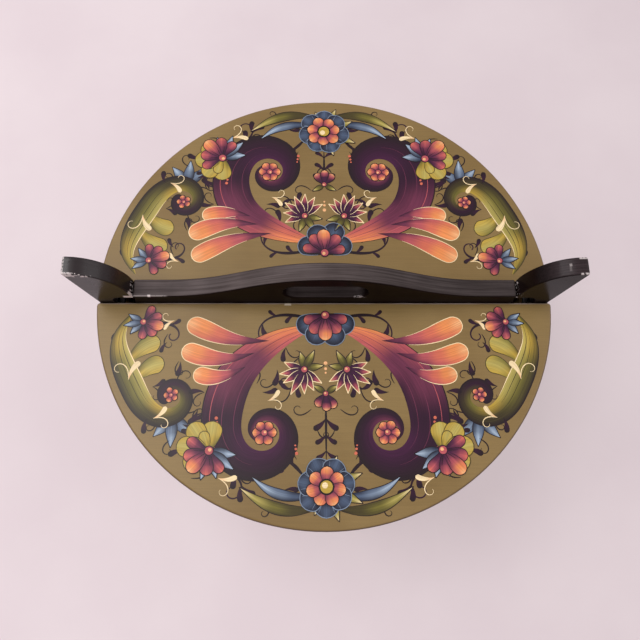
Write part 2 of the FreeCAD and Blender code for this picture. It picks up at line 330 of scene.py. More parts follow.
def dark_paint(name, top, edge, wear_and_highlight_places, shine, roughness, right_shade_share=1.0):
    """Brown-black satin paint brushed along the board, lighter on top as painted light, worn in boxes of the
    frame.

    right_shade_share is how bright the top's right end is, as a share of its left end: a painted shade.
    """
    shader = Shader(name)
    up = shader.spread(shader.facing(2), 0.5, 0.95)
    streaks = shader.blend(up, shader.noise((30, 700, 700), 4), shader.noise((25, 900, 15), 4))
    share = shader.spread(streaks, 0.3, 0.7)
    # Painted shade: the top's painted light falls off towards the right
    shade_towards_right = shader.spread(shader.part(shader.place, 0), -0.03, 0.11, 1.0, right_shade_share)
    # Painted shade: in the finger slot, up-facing faces get only half the painted top light
    in_slot = shader.inside((-40 * MM, 1.5 * BOARD_LOW.y, LID_TOP + 8 * MM),
                            (40 * MM, 1.5 * BOARD_HIGH.y, LID_TOP + 14 * MM))
    # Painted light: faces that look up take the lighter top colour
    top_light_share = shader.math("MULTIPLY", up, shader.blend(in_slot, 1.0, 0.5))
    top_light = shader.times(shader.mix(share, *top), shade_towards_right)
    colour = shader.mix(top_light_share, shader.mix(share, *DARK_PAINT), top_light)
    cloud = shader.noise((40, 40, 40), 3)
    colour = shader.shaded(colour, cloud, 0.85, 1.12)
    patches = shader.spread(shader.noise((160, 160, 160), 3), 0.45, 0.7)
    thin = shader.math("MULTIPLY", shader.edges(1.0 * MM), patches)
    tint, strength = edge
    colour = shader.mix(shader.math("MULTIPLY", thin, strength), colour, tint)
    chips = shader.noise((520, 520, 520), 3)
    # Chips of wear, and the painted highlight on the handle's slot, take the pale chip colour
    for low, high, bare, strength in wear_and_highlight_places:
        chipped = shader.spread(chips, 0.6 - 0.3 * bare, 0.66 - 0.3 * bare)
        chipped = shader.math("MULTIPLY", chipped, shader.inside(low, high))
        colour = shader.mix(shader.math("MULTIPLY", chipped, strength), colour, DARK_CHIP_AND_HIGHLIGHT)
    gloss = shader.spread(cloud, 0.3, 0.7, *roughness)
    return shader.finish(colour, gloss, shader.bump(streaks, 0.05 * MM), Specular_IOR_Level=shine)


# Worn places, and the painted highlight on the handle's slot, are boxes of the frame: the low corner, the
# high corner, how much of it is bare, 0 to 1, and how strongly it shows, 0 to 1
def post_wear(side):
    """Where a post's paint is chipped: its outer corners and its nose. side is -1 at the left."""
    tip, out = POST_LOW.x, POST_HIGH.x
    front, back, top = POST_LOW.y, POST_HIGH.y, POST_HIGH.z
    nose = LID_TOP + NOSE_RISE
    before, past = tip - MM, out + MM
    ahead, behind, over = front - MM, back + MM, top + MM
    places = [((before, ahead, nose - MM), (tip + MM, behind, nose + 2.2 * MM), 1.0, 0.75),
              ((before, front, nose), (tip + 3 * MM, back, nose + 9 * MM), 0.12, 0.6)]
    if side < 0:
        places += [((out - 1.5 * MM, front, top - 9 * MM), (past, back, over), 0.55, 0.7),
                   ((out - 7 * MM, ahead, top - 5 * MM), (past, front + 1.2 * MM, over), 0.7, 0.8),
                   ((out - 18 * MM, ahead, top - 6 * MM), (out - 6 * MM, front + MM, over), 0.3, 0.8),
                   ((before, ahead, nose), (tip + 1.8 * MM, front + 1.6 * MM, nose + 11 * MM), 1.0, 0.7),
                   ((before, ahead, nose - MM), (tip + 6.5 * MM, front + 0.8 * MM, nose + 4.5 * MM),
                    1.0, 1.0)]
        return [((-high[0], *low[1:]), (-low[0], *high[1:]), *amounts) for low, high, *amounts in places]
    places += [((out - 6 * MM, ahead, top - 1.2 * MM), (past, front + 1.2 * MM, over), 0.6, 0.7),
               ((out - 6 * MM, back - 1.6 * MM, top - 5 * MM), (past, behind, over), 0.6, 0.7),
               ((out - 12.2 * MM, back - 6 * MM, top - 8 * MM), (out - 10.6 * MM, back - 4 * MM, over),
                1.0, 0.3),
               ((out - 12.4 * MM, front + 3 * MM, top - 8 * MM), (out - 11 * MM, back - 6 * MM, over),
                0.9, 0.1)]
    return places


def handle_wear_and_highlight():
    """Where the handle's paint is chipped: a nick near its left end; and a painted highlight in pale chips
    on the slot's right lip.
    """
    front = BOARD_LOW.y
    ahead = front - MM
    edge = LID_TOP + 12.2 * MM
    lip = LID_TOP + 10.5 * MM
    return [((-125.6 * MM, ahead, edge - 1.5 * MM), (-123.5 * MM, front + 1.2 * MM, edge + MM), 1.0, 1.0),
            ((-139 * MM, ahead, edge - 0.9 * MM), (-112 * MM, front + 0.9 * MM, edge + MM), 1.0, 0.3),
            # Painted highlight: pale chips along the right part of the slot's lower lip
            ((20 * MM, ahead, lip - MM), (29 * MM, front + 1.4 * MM, lip + 1.6 * MM), 0.5, 0.35)]


def band_paint():
    """Plain olive paint outside and on the rim, bare pine inside, with painted shade near black on the rim
    beside the posts.
    """
    shader = Shader("olive_paint")
    cloud = shader.noise((14, 14, 14), 3)
    colour = shader.mix(shader.spread(cloud, 0.35, 0.65), *BAND_OLIVE)
    strokes = shader.noise((60, 60, 800), 3)
    colour = shader.shaded(colour, strokes, 0.9, 1.08)
    patches = shader.spread(shader.noise((120, 120, 120), 3), 0.5, 0.62)
    rubbed = shader.math("MULTIPLY", shader.edges(1.2 * MM), patches)
    colour = shader.mix(rubbed, colour, BAND_RUBBED)
    wood, _ = pine(shader, (20, 20, 300))
    length = shader.add("VectorMath", operation="LENGTH")
    shader.feed(length.inputs[0], shader.scaled((1, 1, 0)))
    inner = BAND_HIGH.x - 3.4 * MM
    outside = shader.spread(length.outputs["Value"], inner, inner + 0.4 * MM)
    colour = shader.mix(outside, wood, colour)
    across, rim = 1.3 * BAND_HIGH.x, BAND_HIGH.z
    # Painted shade: the band's rim and its top 3 mm beside the posts are near black
    beside = shader.inside((-across, -9 * MM, rim - 3 * MM), (across, 9 * MM, rim + 2 * MM))
    colour = shader.mix(beside, colour, SHADE_BESIDE_POSTS)
    return shader.finish(colour, 0.45, shader.bump(strokes, 0.05 * MM), Coat_Weight=0.15, Coat_Roughness=0.3)


def bare_wood():
    """Planed pine of the base board and the cleats."""
    shader = Shader("bare_wood")
    colour, fibre = pine(shader, BOARD_GRAIN)
    return shader.finish(colour, 0.62, shader.bump(fibre, 0.05 * MM))


def peg_wood():
    """Birch pegs, mostly seen at their ends."""
    shader = Shader("peg_wood")
    rings = shader.noise((500, 500, 500), 4)
    colour = shader.mix(shader.spread(rings, 0.35, 0.65), *END_GRAIN)
    return shader.finish(colour, 0.55, shader.bump(rings, 0.05 * MM))


def root():
    """Split root with its fibres along the lacing."""
    shader = Shader("root")
    fibres = shader.noise((300, 300, 2600), 3)
    colour = shader.mix(shader.spread(fibres, 0.3, 0.7), *ROOT)
    return shader.finish(colour, 0.5, shader.bump(fibres, 0.08 * MM))


def dress(names, material):
    """Gives solids of the CAD model their material."""
    for name in names:
        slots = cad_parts[name].data.materials
        slots.clear()
        slots.append(material)


def natural_spline(places, values, wanted):
    """A smooth curve through values at growing places, with straight ends."""
    steps = np.diff(places)
    count = len(places)
    system = np.eye(count)
    right = np.zeros(count)
    for i in range(1, count - 1):
        system[i, i - 1:i + 2] = steps[i - 1], 2 * (steps[i - 1] + steps[i]), steps[i]
        right[i] = 6 * ((values[i + 1] - values[i]) / steps[i] - (values[i] - values[i - 1]) / steps[i - 1])
    bends = np.linalg.solve(system, right)
    i = np.clip(np.searchsorted(places, wanted, "right") - 1, 0, count - 2)
    step = steps[i]
    after = (wanted - places[i]) / step
    before = 1 - after
    curve = (before ** 3 - before) * bends[i] + (after ** 3 - after) * bends[i + 1]
    return before * values[i] + after * values[i + 1] + curve * step ** 2 / 6


# Points along a stroke: how far apart they lie, how many measure its curve, the fewest that it has, and
# how much they crowd towards its ends
SPACING = 1.3
FINE_POINTS = 300
FEWEST_POINTS = 10
CROWDING_SHARE = 0.65


def path_through(knots):
    """Points along a smooth path through the knots, closer together at its ends, and their distances."""
    knots = np.array(knots, float)
    places = np.r_[0, np.cumsum(np.hypot(*np.diff(knots, axis=0).T))]
    fine = np.linspace(0, places[-1], FINE_POINTS)
    line = np.stack([natural_spline(places, knots[:, k], fine) for k in (0, 1)], 1)
    travelled = np.r_[0, np.cumsum(np.hypot(*np.diff(line, axis=0).T))]
    count = max(FEWEST_POINTS, int(travelled[-1] / SPACING) + 2)
    even = np.linspace(0, 1, count)
    eased = (1 - np.cos(math.pi * even)) / 2
    distance = (even + CROWDING_SHARE * (eased - even)) * travelled[-1]
    return np.stack([np.interp(distance, travelled, line[:, k]) for k in (0, 1)], 1), distance


def blended(rows, along, across):
    """Colours over a stroke: rows of colours from its start to its end, each row from left to right."""
    rows = [row if isinstance(row[0], tuple) else (row, row) for row in rows]
    widest = max(len(row) for row in rows)
    columns = np.linspace(0, 1, widest)
    table = np.array([
        np.stack([np.interp(columns, np.linspace(0, 1, len(row)), np.array(row)[:, k]) for k in range(3)], 1)
        for row in rows])
    places = along * (len(rows) - 1)
    index = np.clip(places.astype(int), 0, len(rows) - 2)
    share = (places - index)[:, None, None]
    share = share * share * (3 - 2 * share)
    strip = table[index] * (1 - share) + table[index + 1] * share
    return np.stack([
        np.stack([np.interp(across, columns, line[:, k]) for k in range(3)], 1) for line in strip])


class Painting:
    """Strokes of paint on one leaf, gathered into one mesh.

    Places are in units of the lid's radius over 165, about a millimetre: across from the middle of the
    handle, then out from the leaf's straight edge. Angles are in degrees, 0 across and 90 out to the rim.
    side is 1, or -1 for the mirrored half. layer counts the strokes that lie under the next one.
    """

    UNIT = LID_RADIUS / 165
    LAYER = 0.007 * MM
    SUNK = 0.05 * MM
    CROWN = 0.005 * MM
    OUTLINE = 0.55
    THINNEST = 0.04
    UNEVEN = 0.04

    def __init__(self, name, out, seed):
        self.name = name
        self.out = out
        self.side = 1
        self.layer = 1
        self.random = np.random.default_rng(seed)
        self.vertices = []
        self.faces = []
        self.colours = []
        self.streaks = []

    def lay(self, line, distance, half, rows, across):
        """One closed slab of paint along a line, half its width at each point."""
        count = len(line)
        tangent = np.gradient(line, axis=0)
        tangent /= np.maximum(np.hypot(*tangent.T), 1e-9)[:, None]
        left = np.stack([-tangent[:, 1], tangent[:, 0]], 1)
        sweep = np.linspace(1, -1, across)
        flat = line[:, None, :] + left[:, None, :] * (half[:, None] * sweep)[:, :, None]
        colours = blended(rows, distance / distance[-1], (1 - sweep) / 2)
        colours = colours * (1 + self.UNEVEN * self.random.normal(size=(1, across, 1)))
        height = LID_TOP + self.layer * self.LAYER + self.CROWN * (1 - sweep ** 2)
        top = self.placed(flat, np.broadcast_to(height, (count, across)))
        bottom = self.placed(flat[:, [0, -1]], np.full((count, 2), LID_TOP - self.SUNK))
        start = sum(len(block) for block in self.vertices)
        low = start + count * across
        self.vertices += [top.reshape(-1, 3), bottom.reshape(-1, 3)]
        self.colours += [colours.reshape(-1, 3), colours[:, [0, -1]].reshape(-1, 3)]
        offset = self.random.uniform(0, 1)
        drift = np.stack([
            np.broadcast_to(distance[:, None] * MM + offset, (count, across)),
            half[:, None] * sweep * MM + offset], 2)
        self.streaks += [drift.reshape(-1, 2), drift[:, [0, -1]].reshape(-1, 2)]
        last = across - 1
        for i in range(count - 1):
            here, there = start + i * across, start + (i + 1) * across
            under, beyond = low + 2 * i, low + 2 * i + 2
            self.faces += [(here + j, there + j, there + j + 1, here + j + 1) for j in range(last)]
            self.faces.append((under, under + 1, beyond + 1, beyond))
            self.faces.append((here, under, beyond, there))
            self.faces.append((here + last, there + last, beyond + 1, under + 1))
        end = start + (count - 1) * across
        self.faces.append((*range(start, start + across), low + 1, low))
        self.faces.append((*range(end + last, end - 1, -1), low + 2 * count - 2, low + 2 * count - 1))
        self.layer += 1
        return flat

    def placed(self, flat, height):
        """Places on the leaf, with their heights, in the frame."""
        x = self.side * flat[..., 0] * self.UNIT
        y = self.out * (SLOT_EDGE + flat[..., 1] * self.UNIT)
        return np.stack([x, y, height], -1)

    def stroke(self, knots, widths, rows, start_round=False, end_round=False, across=5):
        """A brush stroke through the knots. widths run evenly from its start to its end."""
        line, distance = path_through(knots)
        length = distance[-1]
        shares = np.linspace(0, 1, len(widths))
        half = natural_spline(shares, np.array(widths, float), distance / length) / 2
        for rounded, gone in ((start_round, distance), (end_round, length - distance)):
            radius = widths[0 if gone is distance else -1] / 2
            if rounded:
                half = half * np.sqrt(np.clip(1 - (1 - np.clip(gone / radius, 0, 1)) ** 2, 0, 1))
        half = np.maximum(half, self.THINNEST)
        return self.lay(line, distance, half, rows, across)

    def liner(self, knots, width, colour):
        """A thin line of a liner brush, thickest before its middle."""
        self.stroke(knots, [0.4 * width, width, 0.95 * width, 0.7 * width, 0.35 * width],
                    [colour, colour], across=3)

    def comma(self, knots, width, rows, edge=None):
        """A stroke with a round head that runs out to a fine tail."""
        flat = self.stroke(knots, [0.85 * width, width, 0.86 * width, 0.6 * width, 0.3 * width, 0.05],
                           rows, start_round=True)
        if edge:
            self.rim(flat[::-1], self.OUTLINE, edge, 0.35)

    def rim(self, flat, width, colour, start=0.25):
        """A liner stroke round the far end of a stroke that was just laid."""
        first = int(len(flat) * start)
        line = np.concatenate([flat[first:, 0], flat[-1:first:-1, -1]])
        steps = np.hypot(*np.diff(line, axis=0).T)
        line = line[np.r_[True, steps > 0.02]]
        distance = np.r_[0, np.cumsum(np.hypot(*np.diff(line, axis=0).T))]
        half = width / 2 * np.interp(distance / distance[-1], [0, 0.2, 0.8, 1], [0.3, 1, 1, 0.3])
        self.lay(line, distance, half, [colour, colour], 3)

    def edge(self, flat, column, width, colour, start, stop):
        """A liner stroke along one side of a stroke: column 0 is its left side and -1 its right."""
        line = flat[int(len(flat) * start):int(len(flat) * stop), column]
        distance = np.r_[0, np.cumsum(np.hypot(*np.diff(line, axis=0).T))]
        half = width / 2 * np.interp(distance / distance[-1], [0, 0.3, 0.7, 1], [0.2, 1, 1, 0.2])
        self.lay(line, distance, half, [colour, colour], 3)

    def petal(self, base, angle, length, width, rows, bend=0.0, edge=None, tip=0.8):
        """A petal from its base along an angle: round where tip is a share of its width, else pointed."""
        turn = math.radians(angle + self.random.uniform(-3, 3))
        length = length * self.random.uniform(0.94, 1.06)
        along = np.array([math.cos(turn), math.sin(turn)])
        aside = np.array([-along[1], along[0]])
        knots = [np.array(base) + length * (share * along + bend * share * share * aside)
                 for share in (0, 0.35, 0.7, 1)]
        widths = [0.2 * width, 0.7 * width, width, tip * width]
        if not tip:
            widths = [0.2 * width, 0.85 * width, width, 0.6 * width, 0.05]
        flat = self.stroke(knots, widths, rows, end_round=tip > 0)
        if edge:
            self.rim(flat, self.OUTLINE, edge)

    def dot(self, place, radius, colour):
        """A round dot, laid as one short stroke."""
        x, y = place
        self.stroke([(x - radius, y), (x, y), (x + radius, y)], [2 * radius] * 3, [colour, colour],
                    True, True, across=3)

    def piece(self):
        """The strokes as one mesh object, with their colours and the streaks' own places."""
        mesh = bpy.data.meshes.new(self.name)
        mesh.from_pydata(np.concatenate(self.vertices).tolist(), [], self.faces)
        paint = mesh.color_attributes.new("Paint", "FLOAT_COLOR", "POINT")
        colours = np.clip(np.concatenate(self.colours), 0, 1)
        paint.data.foreach_set("color", np.c_[colours, np.ones(len(colours))].astype(np.float32).ravel())
        streaks = np.concatenate(self.streaks)
        layer = mesh.uv_layers.new(name="Stroke")
        corners = np.zeros(len(mesh.loops), np.int32)
        mesh.loops.foreach_get("vertex_index", corners)
        layer.uv.foreach_set("vector", streaks[corners].astype(np.float32).ravel())
        work = bmesh.new()
        work.from_mesh(mesh)
        bmesh.ops.recalc_face_normals(work, faces=work.faces)
        work.to_mesh(mesh)
        work.free()
        painted = bpy.data.objects.new(self.name, mesh)
        bpy.context.scene.collection.objects.link(painted)
        return painted


# Colours along a stroke from its start to its end, each row from its left side to its right
ROSE_PETAL = [(AUBERGINE, AUBERGINE, AUBERGINE), (AUBERGINE, DEEP_PURPLE, AUBERGINE),
              (DEEP_PURPLE, PLUM, DEEP_PURPLE), (PLUM, ROSE, PLUM), (ROSE, SALMON, ROSE)]
ORANGE_PETAL = [(AUBERGINE, AUBERGINE, AUBERGINE), (DEEP_PURPLE, PLUM, DEEP_PURPLE), (PLUM, ROSE, PLUM),
                (ROSE, ORANGE, SALMON), (ORANGE, PEACH, ORANGE)]
DUSK_PETAL = [(INK, INK, INK), (AUBERGINE, DEEP_PURPLE, AUBERGINE), (AUBERGINE, DEEP_PURPLE, AUBERGINE),
              (PLUM, ROSE, PLUM), (ORANGE, PEACH, ORANGE)]
BLUE_LEAF = [(INK, NAVY, INK), (NAVY, SLATE, NAVY), (NAVY, GREY_BLUE, SLATE), (SLATE, PALE_BLUE, SLATE),
             (GREY_BLUE, PALE_BLUE, GREY_BLUE)]
NAVY_LOBE = [(INK, INK, INK), (INK, NAVY, INK), (NAVY, SLATE, NAVY), (NAVY, NAVY, NAVY)]
BLUE_PETAL = [(INK, INK, INK), (INK, NAVY, INK), (NAVY, NAVY, NAVY), (NAVY, SLATE, NAVY),
              (NAVY, SLATE, NAVY)]
OLIVE_LEAF = [(INK, DARK_OLIVE, INK), (DARK_OLIVE, DARK_OLIVE, DARK_OLIVE), (DARK_OLIVE, MOSS, DARK_OLIVE),
              (MOSS, PALE_OLIVE, MOSS), (PALE_OLIVE, CREAM, PALE_OLIVE)]
GOLD_LOBE = [(DARK_OLIVE, MOSS, DARK_OLIVE), (MOSS, MUSTARD, MOSS), (MUSTARD, PALE_OLIVE, MUSTARD),
             (MUSTARD, PALE_OLIVE, MUSTARD)]
GOLD_COMMA = [(MUSTARD, PALE_OLIVE, MUSTARD), (MUSTARD, PALE_OLIVE, MOSS), (MOSS, MUSTARD, DARK_OLIVE),
              (DARK_OLIVE, MOSS, DARK_OLIVE)]
FEATHER = [(ORANGE, PEACH, ORANGE), (ORANGE, ORANGE, SALMON), (SALMON, SALMON, ROSE), (ROSE, ROSE, PLUM),
           (PLUM, PLUM, AUBERGINE), (AUBERGINE, AUBERGINE, AUBERGINE)]
DARK_COMMA = [INK, AUBERGINE, INK]
CREAM_COMMA = [CREAM, CREAM, PEACH]


def curl(centre, angle, turn, start, end, points):
    """Places on a spiral round a centre, from an angle on through a turn, from one radius to another."""
    shares = np.linspace(0, 1, points)
    turns = np.radians(angle + turn * shares)
    reach = start * (end / start) ** shares
    return [(centre[0] + r * math.cos(t), centre[1] + r * math.sin(t)) for r, t in zip(reach, turns)]


def course(start, angle, length, turn, ease, points=24):
    """Places on a line that sets off at an angle and turns more and more until it has turned enough."""
    shares = np.linspace(0, 1, points)
    heading = np.radians(angle + turn * shares ** ease)
    moves = np.stack([np.cos(heading), np.sin(heading)], 1) * length / (points - 1)
    return np.array(start, float) + np.r_[[(0, 0)], np.cumsum((moves[1:] + moves[:-1]) / 2, axis=0)]


def heart(paint, place, radius):
    """The round eye that a flower's petals start from."""
    x, y = place
    paint.dot(place, 1.15 * radius, AUBERGINE)
    paint.dot(place, 0.9 * radius, ROSE)
    paint.dot((x - 0.2 * radius, y - 0.2 * radius), 0.4 * radius, PEACH)


def fan(paint, base, angle, size, turns, width, rows, edge=INK, tip=0.8, bend=0.0):
    """Petals side by side, the outer ones laid first. turns are their angles from the fan's own."""
    for turn in sorted(turns, key=abs, reverse=True):
        lean = bend * turn / 90
        paint.petal(base, angle + turn, size * (1 - 0.0025 * abs(turn)), width * size, rows, lean, edge, tip)


def bell(paint, base, angle, size):
    """A flower seen from the side, with a few broad petals."""
    fan(paint, base, angle, size, (-62, 62), 0.42, ROSE_PETAL, bend=0.4)
    fan(paint, base, angle, size, (-32, 32), 0.48, ROSE_PETAL, bend=0.2)
    fan(paint, base, angle, 1.06 * size, (0,), 0.5, ORANGE_PETAL)
    for turn in (-44, -12, 12, 44):
        paint.liner(course(base, angle + turn, 0.55 * size, turn / 4, 1, 6), 0.5, INK)


def fringe(paint, base, angle, size):
    """A flower of narrow pointed petals, dark with bright tips."""
    fan(paint, base, angle, size, range(-72, 73, 24), 0.27, DUSK_PETAL, CREAM, tip=0, bend=0.2)


def spray(paint, base, angle, size, turns, rows=BLUE_LEAF):
    """Pointed leaves that spread from one place."""
    fan(paint, base, angle, size, turns, 0.36, rows, tip=0, bend=0.25)


def lobes(paint, base, angle, size, rows=GOLD_LOBE, edge=DARK_OLIVE):
    """Round overlapping lobes, a short row before a long one."""
    fan(paint, base, angle, size, (-64, -22, 22, 64), 0.6, rows, edge, tip=0.95)
    fan(paint, base, angle, 0.68 * size, (-40, 0, 40), 0.46, rows, edge, tip=0.95)


def rosette(paint, centre, radius):
    """An open flower seen from above: rings of petals round a domed eye."""
    x, y = centre
    petals = 7
    fan(paint, centre, 0, 1.34 * radius, range(-158, 180, 45), 0.3, OLIVE_LEAF, tip=0)
    for index in range(petals):
        angle = 360 / petals * index + 90
        paint.petal(centre, angle, radius, 0.8 * radius, BLUE_PETAL, edge=GREY_BLUE)
        for lean in (-12, 12):
            paint.liner(course(centre, angle + lean, 0.86 * radius, lean, 1, 6), 0.45, GREY_BLUE)
    for index in range(petals):
        angle = 360 / petals * (index + 0.5) + 90
        paint.petal(centre, angle, 0.66 * radius, 0.44 * radius, ORANGE_PETAL, edge=INK)
    paint.dot(centre, 0.27 * radius, INK)
    paint.dot(centre, 0.21 * radius, MUSTARD)
    paint.dot((x - 0.05 * radius, y - 0.05 * radius), 0.1 * radius, CREAM)


def leaf_comma(paint, root, angle, size, bend, rows=DARK_COMMA, width=0.34):
    """A comma that grows from its root and bends away, its round head last."""
    paint.comma(course(root, angle, size, bend, 1.2, 8)[::-1], width * size, rows)


def vine(paint, start, angle, length, turn, leaves):
    """A dark line that thins and curls up at its end. leaves are (share along it, side, size)."""
    ease, width = 2.6, 2.4
    line = course(start, angle, length, turn, ease)
    paint.stroke(line, [0.5 * width, width, 0.7 * width, 0.45 * width, 0.4 * width, 0.35 * width],
                 [INK, AUBERGINE], across=3)
    for share, side, size in leaves:
        heading = angle + turn * share ** ease
        leaf_comma(paint, line[int(share * (len(line) - 1))], heading + 22 * side, size, 60 * side)


def twin_comma(paint, root, angle, size, side):
    """A cream comma and a thin cream curl beside it."""
    leaf_comma(paint, root, angle, size, 55 * side, CREAM_COMMA, 0.27)
    paint.liner(course(root, angle - 10 * side, 1.7 * size, -290 * side, 2.2), 0.65, CREAM)


def triplet(paint, place, angle):
    """Three dots in a row, each smaller than the last."""
    lean = math.radians(angle)
    for step, radius in ((0, 1.1), (3, 0.85), (5.4, 0.6)):
        paint.dot((place[0] + step * math.cos(lean), place[1] + step * math.sin(lean)), radius, SALMON)


def posy(paint, centre, size, count=6):
    """A small open flower."""
    for index in range(count):
        paint.petal(centre, 360 / count * index, size, 0.78 * size, ORANGE_PETAL, edge=INK)
    heart(paint, centre, 0.26 * size)


# The bright feathers from their heads: (across, out, how much of the inset moves it out) and their width
FEATHERS = [([(92, 52, 0.2), (82, 55, 0.2), (70, 54, 0.3), (56, 48, 0.5)], 12),
            ([(101, 35, 0.3), (87, 40, 0.4), (70, 42, 0.5), (50, 38, 0.7)], 14),
            ([(98, 15, 0.4), (83, 22, 0.5), (64, 28, 0.6), (40, 29, 0.8)], 14)]


def horn(paint, inset):
    """The dark scroll from the handle's middle that curls in, with feathers along the handle."""
    eye = (42, 94)
    knots = [(6, 18 + inset), (22, 23 + inset), (44, 35 + 0.8 * inset), (63, 55 + 0.4 * inset), (71, 79)]
    knots += curl(eye, 6, 400, 28, 8, 11)
    rows = [(SALMON, ORANGE, ORANGE), (ROSE, SALMON, ORANGE), (PLUM, PLUM, ROSE), (AUBERGINE, PLUM, PLUM),
            (AUBERGINE, AUBERGINE, AUBERGINE), (DEEP_PURPLE, AUBERGINE, INK), (DEEP_PURPLE, AUBERGINE, INK),
            (DEEP_PURPLE, AUBERGINE, INK), (PLUM, AUBERGINE, INK), (PLUM, AUBERGINE, AUBERGINE)]
    body = paint.stroke(knots, [1, 12, 20, 26, 28, 26, 22, 17, 12, 8, 0.5], rows, across=11)
    paint.edge(body, -1, 0.8, INK, 0.1, 0.8)
    for column, start, colour in ((2, 0.06, PLUM), (5, 0.1, PLUM), (8, 0.03, ROSE)):
        paint.edge(body, column, 0.5, colour, start, start + 0.5)
    for places, width in FEATHERS:
        paint.comma([(x, y + share * inset) for x, y, share in places], width, FEATHER, CREAM)
    posy(paint, eye, 8.5)
    triplet(paint, (75, 84), 100)
    triplet(paint, (20, 108), -80)


def acanthus(paint):
    """The olive scroll that follows the rim up from the post and curls in, with two gold lobes."""
    eye = (107, 68)
    for places in ([(113, 45), (121, 47), (129, 53), (136, 62)],
                   [(117, 29), (125, 32), (134, 39), (141, 49)]):
        paint.comma(places, 13, GOLD_COMMA, DARK_OLIVE)
    knots = [(139, 9), (146, 26), (142, 46), (134, 62)] + curl(eye, 30, 405, 19, 4, 10)
    rows = [(MUSTARD, MOSS, DARK_OLIVE), (PALE_OLIVE, MUSTARD, DARK_OLIVE), (PALE_OLIVE, MOSS, INK),
            (PALE_OLIVE, MOSS, INK), (MUSTARD, DARK_OLIVE, INK), (MOSS, DARK_OLIVE, INK),
            (DARK_OLIVE, AUBERGINE, INK), (AUBERGINE, AUBERGINE, INK)]
    body = paint.stroke(knots, [1, 9, 15, 17, 16, 13, 9, 8, 9], rows, end_round=True, across=9)
    paint.edge(body, -1, 0.7, INK, 0.05, 0.8)
    paint.edge(body, 0, 0.6, CREAM, 0.14, 0.5)
    for column, start in ((2, 0.1), (4, 0.16), (6, 0.22)):
        paint.edge(body, column, 0.5, DARK_OLIVE, start, start + 0.42)
    twin_comma(paint, (137, 57), -95, 15, -1)
    twin_comma(paint, (118, 84), -160, 12, 1)
    posy(paint, eye, 5.5, 5)


# Thin dark curls in the open ground: where each starts, its first angle, its length and how far it turns
TENDRILS = [((116, 86), 84, 15, -290), ((104, 98), 30, 20, 290), ((150, 34), 70, 16, 290),
            ((88, 92), -60, 26, -280), ((20, 112), -60, 26, 280), ((58, 122), 112, 16, 290),
            ((16, 40), 30, 24, 290), ((24, 62), 80, 26, -290), ((112, 24), 60, 18, 280),
            ((104, 60), -100, 22, -290), ((34, 56), 60, 22, -290), ((28, 34), 110, 20, 280),
            ((10, 78), 40, 22, -290), ((6, 92), 110, 16, 290), ((48, 60), -120, 18, 290),
            ((88, 78), 30, 20, -290), ((120, 62), 150, 18, -290), ((90, 124), 175, 18, 290),
            ((40, 140), 120, 16, -290), ((148, 22), 40, 14, 280), ((84, 66), 20, 20, 290),
            ((103, 44), 60, 18, 290)]
# Dark commas in the open ground: where each starts, its angle, its length and its bend
COMMAS = [((56, 128), 66, 12, 50), ((95, 106), -6, 12, 50), ((0, 84), 62, 12, -45),
          ((0, 95), 60, 10, -45), ((98, 88), 150, 12, 50), ((0, 106), 58, 9, -45),
          ((34, 50), 100, 12, -50), ((28, 34), 60, 11, 50), ((88, 78), 80, 12, -50),
          ((120, 62), 190, 10, 50), ((84, 66), -20, 11, 50), ((102, 44), 100, 11, -50),
          ((122, 84), 60, 11, 50), ((28, 132), 200, 10, -50), ((44, 66), 170, 11, 50),
          ((112, 30), 40, 9, 50)]

# The layer that each group of strokes starts on
STEM_LAYER = 1
SPRAY_LAYER = 2
BUD_STEM_LAYER = 4
TENDRIL_LAYER = 5
ACANTHUS_LAYER = 9
HORN_LAYER = 20
CURL_LAYER = 30
LEAF_LAYER = 34
ROSETTE_LAYER = 40
FLOWER_LAYER = 42


def half_of_leaf(paint, inset):
    """One mirrored half of the design on one leaf. inset moves what lies beside the handle outwards."""
    corner = (130, 15 + 0.3 * inset)
    inner = (15, 50 + 0.4 * inset)
    outer = (79, 106)
    stems = [((10, 12 + inset), -10, 70, 320, ((0.2, 1, 9), (0.38, -1, 8), (0.55, 1, 11))),
             ((72, 115), 152, 44, -320, ((0.25, -1, 12), (0.5, 1, 12))),
             ((16, 122), -50, 32, 300, ((0.3, -1, 11),)),
             ((86, 104), -62, 40, -300, ((0.25, 1, 10), (0.45, -1, 10))),
             ((14, 52 + 0.4 * inset), 60, 34, -310, ((0.3, 1, 11), (0.5, -1, 10))),
             ((120, corner[1]), 172, 34, -320, ((0.3, 1, 9),))]
    for index, (start, angle, length, turn, leaves) in enumerate(stems):
        paint.layer = STEM_LAYER + index % 4
        vine(paint, start, angle, length, turn, leaves)
    for start, angle, size, bend in COMMAS:
        leaf_comma(paint, start, angle, size, bend)
    for index, (start, angle, length, turn) in enumerate(TENDRILS):
        paint.layer = TENDRIL_LAYER + index % 4
        paint.liner(course(start, angle, length, turn, 2.2), 0.9, INK)
    paint.layer = ACANTHUS_LAYER
    acanthus(paint)
    paint.layer = HORN_LAYER
    horn(paint, inset)
    paint.layer = CURL_LAYER
    twin_comma(paint, (72, 124), 160, 13, 1)
    twin_comma(paint, (40, 72), 200, 11, 1)
    twin_comma(paint, (108, 14 + 0.3 * inset), 20, 10, 1)
    paint.layer = FLOWER_LAYER
    spray(paint, outer, 125, 21, (-42, -14, 14, 42))
    lobes(paint, outer, -30, 23)
    bell(paint, outer, 48, 19)
    heart(paint, outer, 3)
    paint.layer = FLOWER_LAYER
    spray(paint, inner, 240, 15, (-40, 0, 40), OLIVE_LEAF)
    fringe(paint, inner, 62, 19)
    heart(paint, inner, 2.3)
    paint.layer = SPRAY_LAYER
    spray(paint, (105, 82), 92, 22, (-36, 0, 36))
    paint.layer = FLOWER_LAYER
    spray(paint, corner, 8, 14, (-34, 0, 34))
    bell(paint, corner, 165, 15)
    heart(paint, corner, 2.2)


